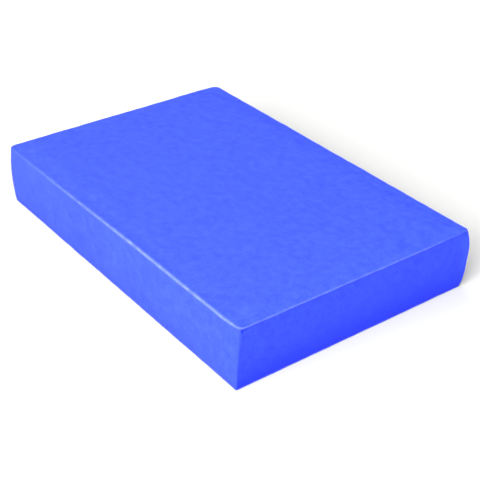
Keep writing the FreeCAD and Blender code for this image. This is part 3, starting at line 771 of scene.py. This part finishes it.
def build_band(name, first, last, low, high, edges=("seam", "seam")):
    """A stretch of the cover's side between two upright seams and between two heights."""
    columns = stretch(first, last)
    travelled = (ALONG[columns] - ALONG[first]) % ROUND
    rows = band_rows(low, high, edges)
    z, inset = rows.T
    from_base = np.where(edges[0] == "seam", z - low, np.inf)
    from_top = np.where(edges[1] == "seam", high - z, np.inf)
    from_seam = np.minimum(from_base, from_top)[:, None]
    out = band_relief(columns, z, low, high, from_seam)
    if "fold" in edges:
        stitched = sum(np.exp(-((z - s) / STITCH_REACH) ** 2) for s in (STITCH_LOW, STITCH_HIGH))
        out -= STITCH_GROOVE * (stitched * (inset == 0))[:, None]
    out -= inset[:, None] + seam_turn(np.minimum(travelled, travelled[-1] - travelled), SEAM_ROLL)
    grid, hollow = band_points(name, columns, travelled, rows, out, from_base, from_top)
    inward = [TUCK * np.append(plan(TOP_RADII)[1][end], 0) for end in (first, last)]
    grid = np.concatenate([grid[:, :1] - inward[0], grid, grid[:, -1:] - inward[1]], axis=1)
    # Wear and a painted highlight beside the seams.
    worn_and_lit, hollow = (np.pad(part, ((0, 0), (1, 1))) for part in (
        BAND_WEAR_HIGHLIGHT * np.exp(-(from_seam / BAND_WEAR_HIGHLIGHT_REACH) ** 2) * np.ones(out.shape), hollow))
    piece = mesh_object(name, grid.reshape(-1, 3), grid_faces(grid.shape[0], grid.shape[1]))
    store(piece, "wear_and_highlight", worn_and_lit.ravel() * rub_and_highlight(*grid.reshape(-1, 3)[:, :2].T))
    # Painted shade near the floor, and on the short band under its top seam and in its dimple.
    paint_shade(piece, grid[:, :, 2].ravel(), hollow.ravel())
    return finish_cloth(piece)


def build_cover(materials):
    ends = ZIP_HIGH_COLUMN, ZIP_LOW_COLUMN
    pieces = {
        "top_panel": build_panel("top_cover", True),
        "base_panel": build_panel("base_cover", False),
        "long_side_band": build_band("long_band", ends[1], CORNER_COLUMN, BASE_SEAM, TOP_SEAM),
        "short_side_band": build_band("short_band", CORNER_COLUMN, ends[0], BASE_SEAM, TOP_SEAM),
        "zip_strip_upper": build_band("upper_strip", *ends, FOLD_HIGH, TOP_SEAM, ("fold", "seam")),
        "zip_strip_lower": build_band("lower_strip", *ends, BASE_SEAM, FOLD_LOW, ("seam", "fold")),
    }
    for node, piece in pieces.items():
        present(piece, materials["vinyl"], nodes=[node])


BLOCK_GAP = 1 * MM         # between the foam block and the cover or the slider
BLOCK_BEVEL = 10 * MM


def build_core(material):
    """The foam block inside the cover, pressed back behind the zip."""
    low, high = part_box("foam_core")
    gap = Vector((BLOCK_GAP, BLOCK_GAP, BLOCK_GAP))
    low, high = low + gap, high - gap
    high.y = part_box("zip_slider")[0].y - BLOCK_GAP
    block = bmesh.new()
    bmesh.ops.create_cube(block, size=1)
    for vertex in block.verts:
        share = vertex.co + Vector((0.5, 0.5, 0.5))
        vertex.co = Vector(a + (b - a) * s for a, b, s in zip(low, high, share))
    bmesh.ops.bevel(block, geom=block.edges[:], offset=BLOCK_BEVEL, segments=4, profile=0.5,
                    affect="EDGES")
    block.verts.index_update()
    faces = [[vertex.index for vertex in face.verts] for face in block.faces]
    piece = mesh_object("foam_block", [vertex.co for vertex in block.verts], faces)
    block.free()
    present(piece, material, nodes=["foam_core"])


# ---- the zip

COIL_PITCH = 1.6 * MM
COIL_WIRE = 0.32 * MM      # radius of the coil's filament
COIL_HEADS = 0.25 * MM     # how far the turns' heads reach in past the coil's solid
COIL_SQUARENESS = 0.75     # below 1, so that the loops are flattened
COIL_STAGGER = 0.45 * COIL_PITCH    # how far along the lower half's turns lie
COIL_STEPS = 14            # points in a turn
TAPE_STEP = 2.2 * MM       # spacing of the tape's mesh along it
TAPE_RIB = 1.1 * MM        # spacing of its woven ribs, each four rows of the mesh wide
RIB_DEPTH = 0.07 * MM
STITCH_PITCH, STITCH_LENGTH = 4 * MM, 2.9 * MM
STITCH_LIE = 0.12 * MM     # how far a stitch's middle stands out, and how far it slants
STITCH_DIVE = 0.75 * MM    # how far its ends go into the strip
THREAD_RADIUS = 0.22 * MM
ACROSS = (0.31, 0.52, 0.79)    # a direction that no thread or filament follows


def tube(name, paths, radius, sides=6):
    """Closed tubes of one radius along lists of points."""
    vertices, faces = [], []
    for path in paths:
        path = np.asarray(path)
        ahead = np.gradient(path, axis=0)
        ahead /= np.linalg.norm(ahead, axis=1, keepdims=True)
        side = np.cross(ahead, ACROSS)
        side /= np.linalg.norm(side, axis=1, keepdims=True)
        up = np.cross(ahead, side)
        start = len(vertices)
        for point, s, u in zip(path, side, up):
            for i in range(sides):
                angle = 2 * math.pi * i / sides
                vertices.append(point + radius * (math.cos(angle) * s + math.sin(angle) * u))
        faces += grid_faces(len(path), sides, closed=True, start=start)
        faces.append(tuple(range(start, start + sides)))
        faces.append(tuple(range(len(vertices) - 1, len(vertices) - 1 - sides, -1)))
    return mesh_object(name, vertices, faces)


def build_coil(node, name, sign, material):
    """One half of the chain: a filament wound in flattened loops, with heads towards the middle."""
    low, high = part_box(node)
    inner, outer = sorted((abs(low.z - MIDDLE), abs(high.z - MIDDLE)))
    inner -= COIL_HEADS
    turns = int((high.x - low.x - 2 * COIL_WIRE) / COIL_PITCH)
    t = np.arange(turns * COIL_STEPS + 1) / COIL_STEPS
    angle = 2 * math.pi * t
    reach = (outer - inner) / 2 - COIL_WIRE
    depth = (high.y - low.y) / 2 - COIL_WIRE
    squared = np.abs(np.cos(angle)) ** COIL_SQUARENESS * np.sign(np.cos(angle))
    start = low.x + COIL_WIRE + (0 if sign > 0 else COIL_STAGGER)
    x = np.minimum(start + t * COIL_PITCH, high.x - COIL_WIRE)
    y = (low.y + high.y) / 2 + depth * np.sin(angle)
    z = MIDDLE + sign * ((inner + outer) / 2 + reach * squared)
    piece = tube(name, [np.column_stack([x, y, z])], COIL_WIRE)
    present(piece, material, nodes=[node])


def build_tape(node, name, sign, material):
    """A woven tape with ribs along it."""
    low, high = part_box(node)
    width = high.z - low.z
    columns = int((high.x - low.x) / TAPE_STEP)
    rows = int(width / (TAPE_RIB / 4))
    x = np.linspace(low.x, high.x, columns + 1)
    across = np.linspace(0, width, rows + 1)
    grid_z, grid_x = np.meshgrid(across, x, indexing="ij")
    ribs = RIB_DEPTH * (0.5 + 0.5 * np.cos(2 * math.pi * grid_z / TAPE_RIB))
    inner = low.z if sign > 0 else high.z
    front = np.stack([grid_x, high.y - ribs, inner + sign * grid_z], axis=-1)
    faces = grid_faces(rows + 1, columns + 1)
    if sign > 0:
        faces = [face[::-1] for face in faces]
    piece = mesh_object(name, front.reshape(-1, 3), faces)
    solid = piece.modifiers.new("thickness", "SOLIDIFY")
    solid.thickness = (high.y - low.y) - RIB_DEPTH
    solid.offset = -1
    apply_modifiers(piece)
    present(piece, material, nodes=[node])


def build_topstitch(node, name, level, material):
    """A row of stitches lying in the channel that they pull into the strip."""
    low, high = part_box(node)
    gap = STITCH_PITCH - STITCH_LENGTH
    count = int(round((high.x - low.x + gap) / STITCH_PITCH))
    columns = stretch(ZIP_HIGH_COLUMN, ZIP_LOW_COLUMN)
    bulge = side_bulge(columns, np.array([level]))[0]
    places = plan(TOP_RADII)[0][columns][:, 0]
    order = np.argsort(places)
    paths = []
    share = np.linspace(0, 1, 9)
    for i in range(count):
        middle = (low.x + high.x) / 2 + (i - (count - 1) / 2) * STITCH_PITCH
        x = middle + (share - 0.5) * STITCH_LENGTH
        face = HALF_W + np.interp(x, places[order], bulge[order]) - STITCH_GROOVE
        y = face + STITCH_LIE - STITCH_DIVE * np.abs(2 * share - 1) ** 4
        z = level + STITCH_LIE * (2 * share - 1)
        paths.append(np.column_stack([x, y, z]))
    present(tube(name, paths, THREAD_RADIUS), material, nodes=[node])


def build_zip(materials):
    for half, sign in (("upper", 1), ("lower", -1)):
        build_coil(f"zip_coil_{half}", f"coil_{half}", sign, materials["nylon"])
        build_tape(f"zip_tape_{half}", f"tape_{half}", sign, materials["tape"])
    for half, level in (("upper", STITCH_HIGH), ("lower", STITCH_LOW)):
        build_topstitch(f"zip_topstitch_{half}", f"topstitch_{half}", level, materials["thread"])


# ---- materials

# Colours, from dark to light where a pair is given.
VINYL = (0.011, 0.027, 0.68), (0.024, 0.050, 0.80)
VINYL_CLOUDS = (0.010, 0.025, 0.66), (0.026, 0.055, 0.82)
# Paler edge colour: partly rubbed wear, partly a painted highlight along the ridges.
RUBBED_AND_HIGHLIGHT = (0.110, 0.145, 0.80)
# Painted shade colour, mixed in where the surface would lie in shade.
PAINTED_SHADE_COLOUR = (0.001, 0.006, 0.30)
TAPE = (0.010, 0.024, 0.22), (0.026, 0.060, 0.46)
FOAM = (0.60, 0.58, 0.50), (0.78, 0.76, 0.68)
THREAD = (0.02, 0.05, 0.50), (0.06, 0.12, 0.85)
NYLON = (0.014, 0.035, 0.34), (0.03, 0.07, 0.52)
ENAMEL = (0.016, 0.04, 0.46), (0.03, 0.07, 0.60)


def set_inputs(tree, node, inputs):
    """Sets a node's inputs: numbers, colours, or other nodes' outputs to link."""
    for key, source in inputs.items():
        socket = node.inputs[key]
        if isinstance(source, bpy.types.NodeSocket):
            tree.links.new(source, socket)
        else:
            socket.default_value = (*source, 1) if socket.type == "RGBA" else source


def add_node(tree, kind, inputs=None, **settings):
    node = tree.nodes.new(kind)
    for key, setting in settings.items():
        setattr(node, key, setting)
    set_inputs(tree, node, inputs or {})
    return node


def new_material(name):
    material = bpy.data.materials.new(name)
    material.use_nodes = True
    return material, material.node_tree, material.node_tree.nodes["Principled BSDF"]


def spread(tree, source, low, high, start=0.3, end=0.7):
    """Maps a value's range, a noise's usual one unless given, to another."""
    inputs = {"Value": source, "From Min": start, "From Max": end, "To Min": low, "To Max": high}
    return add_node(tree, "ShaderNodeMapRange", inputs).outputs["Result"]


def combined(tree, operation, a, b):
    return add_node(tree, "ShaderNodeMath", {0: a, 1: b}, operation=operation).outputs[0]


def mixed(tree, factor, a, b, kind="RGBA"):
    inputs = {"Factor": factor, "A": a, "B": b}
    return add_node(tree, "ShaderNodeMix", inputs, data_type=kind).outputs["Result"]


def stored(tree, name):
    return add_node(tree, "ShaderNodeAttribute", attribute_name=name).outputs["Fac"]


def bumped(tree, shader, *layers):
    """Stacks bumps, each a height output, a strength and a depth."""
    below = {}
    for height, strength, depth in layers:
        inputs = {"Height": height, "Strength": strength, "Distance": depth, **below}
        below = {"Normal": add_node(tree, "ShaderNodeBump", inputs).outputs["Normal"]}
    set_inputs(tree, shader, below)


def noises(tree, *settings):
    """Noises in the piece's own coordinates, each with its scale, detail and roughness."""
    place = add_node(tree, "ShaderNodeTexCoord").outputs["Object"]
    found = []
    for scale, detail, roughness in settings:
        inputs = {"Vector": place, "Scale": scale, "Detail": detail, "Roughness": roughness}
        found.append(add_node(tree, "ShaderNodeTexNoise", inputs).outputs["Fac"])
    return place, found


def cells(tree, place, scale, feature):
    inputs = {"Vector": place, "Scale": scale}
    return add_node(tree, "ShaderNodeTexVoronoi", inputs, feature=feature).outputs["Distance"]


def vinyl():
    """Smooth coated fabric with a fine grain, faint mottling, paler edges that are partly rubbed and
    partly a painted highlight, and painted shade near the floor and by the seams.
    """
    material, tree, shader = new_material("blue_vinyl")
    place, (clouds, patches, specks, fine) = noises(
        tree, (22, 3, 0.55), (110, 3, 0.6), (420, 3, 0.7), (2100, 2, 0.5))
    grain = cells(tree, place, 1000.0, "SMOOTH_F1")
    mottle = combined(tree, "ADD", spread(tree, patches, -0.1, 0.65), spread(tree, specks, -0.15, 0.6))
    ground = mixed(tree, 0.25, mixed(tree, mottle, *VINYL), mixed(tree, clouds, *VINYL_CLOUDS))
    # Wear and a painted highlight on the rolled edges.
    worn_and_lit = combined(tree, "MULTIPLY", stored(tree, "wear_and_highlight"), spread(tree, specks, 0.4, 0.7))
    set_inputs(tree, shader, {
        # The base colour carries a painted highlight on the edges and painted shade near the floor and
        # seams.
        "Base Color": mixed(tree, stored(tree, "painted_shade"), mixed(tree, worn_and_lit, ground, RUBBED_AND_HIGHLIGHT), PAINTED_SHADE_COLOUR),
        "Roughness": spread(tree, patches, 0.56, 0.68),
        "Specular IOR Level": 0.14,
    })
    bumped(tree, shader, (patches, 0.25, 0.12 * MM), (fine, 0.25, 0.04 * MM), (grain, 0.35, 0.07 * MM))
    return material


def small_finish(name, dark, light, roughness, scale, depth):
    """A finish with fine unevenness in colour, gloss and height, for small parts."""
    material, tree, shader = new_material(name)
    _, (coarse, fine) = noises(tree, (scale / 6, 3, 0.5), (scale, 4, 0.6))
    set_inputs(tree, shader, {
        "Base Color": mixed(tree, coarse, dark, light),
        "Roughness": spread(tree, coarse, roughness - 0.05, roughness + 0.08),
    })
    bumped(tree, shader, (fine, 0.5, depth))
    return material


def woven_tape():
    """Close-woven polyester: crossing threads with a slight colour change from thread to thread."""
    material, tree, shader = new_material("zip_tape_weave")
    place, (uneven,) = noises(tree, (900, 3, 0.6))
    waves = []
    for direction, scale in (("X", 900), ("Z", 1300)):
        wave = add_node(tree, "ShaderNodeTexWave", {"Vector": place, "Scale": scale, "Distortion": 0.6},
                        wave_type="BANDS", bands_direction=direction)
        waves.append(wave.outputs["Fac"])
    weave = combined(tree, "MULTIPLY", *waves)
    set_inputs(tree, shader, {
        "Base Color": mixed(tree, weave, *TAPE),
        "Roughness": spread(tree, uneven, 0.72, 0.86),
        "Sheen Weight": 0.25,
    })
    bumped(tree, shader, (weave, 0.6, 0.08 * MM), (uneven, 0.3, 0.04 * MM))
    return material


def foam_cells():
    """Fine closed-cell foam."""
    material, tree, shader = new_material("foam_cells")
    place, (clouds,) = noises(tree, (60, 4, 0.6))
    set_inputs(tree, shader, {
        "Base Color": mixed(tree, clouds, *FOAM),
        "Roughness": spread(tree, clouds, 0.8, 0.95),
    })
    bumped(tree, shader, (cells(tree, place, 700.0, "DISTANCE_TO_EDGE"), 0.7, 0.4 * MM))
    return material


def make_materials():
    return {
        "vinyl": vinyl(),
        "tape": woven_tape(),
        "foam": foam_cells(),
        "thread": small_finish("thread_polyester", *THREAD, 0.5, 5000, 0.06 * MM),
        "nylon": small_finish("zip_nylon", *NYLON, 0.34, 1200, 0.02 * MM),
        "enamel": small_finish("zip_enamel", *ENAMEL, 0.26, 900, 0.01 * MM),
    }


def dress_cad_nodes(materials):
    """Gives finer finishes to the CAD nodes that stay as they are."""
    finishes = {
        "enamel": ("zip_slider", "zip_pull", "zip_top_stops", "zip_bottom_stop"),
        "thread": ("top_seam_thread", "base_seam_thread", "corner_seam_thread", "zip_end_seam_threads"),
    }
    for finish, nodes in finishes.items():
        for node in nodes:
            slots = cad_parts[node].data.materials
            slots.clear()
            slots.append(materials[finish])


# ---- stage, light and camera

CAMERA_PLACE = Vector((0.8866, -0.6509, 0.6771))
CAMERA_AIM = Vector((0.0572, -0.0214, 0.035))
CAMERA_ROLL = math.radians(0.69)
CAMERA_LENS = 85.2         # mm on a 36 mm sensor


def aimed(place, aim):
    place, aim = Vector(place), Vector(aim)
    return Matrix.Translation(place) @ (aim - place).to_track_quat("-Z", "Y").to_matrix().to_4x4()


def build_camera():
    data = bpy.data.cameras.new("camera")
    data.lens = CAMERA_LENS
    data.sensor_width = 36
    camera = bpy.data.objects.new("camera", data)
    bpy.context.scene.collection.objects.link(camera)
    camera.matrix_world = aimed(CAMERA_PLACE, CAMERA_AIM) @ Matrix.Rotation(CAMERA_ROLL, 4, "Z")
    bpy.context.scene.camera = camera


FLOOR_REACH = 14.0         # from the middle to each edge
FLOOR_COLOUR = (0.365, 0.365, 0.358)


def build_floor():
    corners = [(x * FLOOR_REACH, y * FLOOR_REACH, 0) for x, y in CORNER_SIGNS]
    floor = mesh_object("floor", corners, [(0, 1, 2, 3)])
    material, tree, shader = new_material("pale_floor")
    set_inputs(tree, shader, {"Base Color": FLOOR_COLOUR, "Roughness": 0.9, "Specular IOR Level": 0.1})
    floor.data.materials.append(material)


SKY_BRIGHTEST = (-0.1, -0.85, 0.5)    # where the surroundings are brightest
SKY_DARKEST = -0.85        # how far from there they have faded to nothing, as a dot product
SKY_LEVEL = 4.0
SKY_BACKDROP = 0.92        # what shows of them behind the floor


def build_sky():
    """Soft light from all round, stronger from one side, and a pale backdrop for the camera."""
    world = bpy.data.worlds.new("world")
    bpy.context.scene.world = world
    world.use_nodes = True
    tree = world.node_tree
    way = add_node(tree, "ShaderNodeTexCoord").outputs["Generated"]
    facing = add_node(tree, "ShaderNodeVectorMath", {0: way, 1: SKY_BRIGHTEST}, operation="DOT_PRODUCT")
    level = spread(tree, facing.outputs["Value"], 0.0, SKY_LEVEL**0.5, SKY_DARKEST, 1.0)
    squared = combined(tree, "MULTIPLY", level, level)
    seen = add_node(tree, "ShaderNodeLightPath").outputs["Is Camera Ray"]
    strength = mixed(tree, seen, squared, SKY_BACKDROP, kind="FLOAT")
    set_inputs(tree, tree.nodes["Background"], {"Color": (1, 1, 1), "Strength": strength})


# Each softbox's name, place, aim, width, height and power in watts.
SOFTBOXES = (
    ("key", (1.4, -3.4, 1.95), (0, 0, 0), 2.4, 1.8, 345),
    ("kicker", (-2.8, -1.5, 2.3), (0.1, -0.15, 0.07), 0.75, 0.75, 5),
    ("rim", (1.76, 1.2, 1.39), (0.2, 0, 0.07), 0.45, 0.45, 13),
    ("back", (-0.95, 0.64, 1.64), (0, 0, 0.07), 0.5, 0.5, 8),
    ("fill", (0.44, -0.44, 0.7), (0.18, -0.12, 0.05), 0.5, 0.5, 4.5),
)


def build_lights():
    for name, place, aim, width, height, power in SOFTBOXES:
        data = bpy.data.lights.new(name, "AREA")
        data.shape = "RECTANGLE"
        data.size, data.size_y = width, height
        data.energy = power
        light = bpy.data.objects.new(name, data)
        bpy.context.scene.collection.objects.link(light)
        light.matrix_world = aimed(place, aim)
        light.visible_camera = False
    bpy.context.scene.view_settings.view_transform = "Standard"


def main():
    build_camera()
    build_floor()
    build_sky()
    build_lights()
    materials = make_materials()
    build_cover(materials)
    build_core(materials["foam"])
    build_zip(materials)
    dress_cad_nodes(materials)


main()
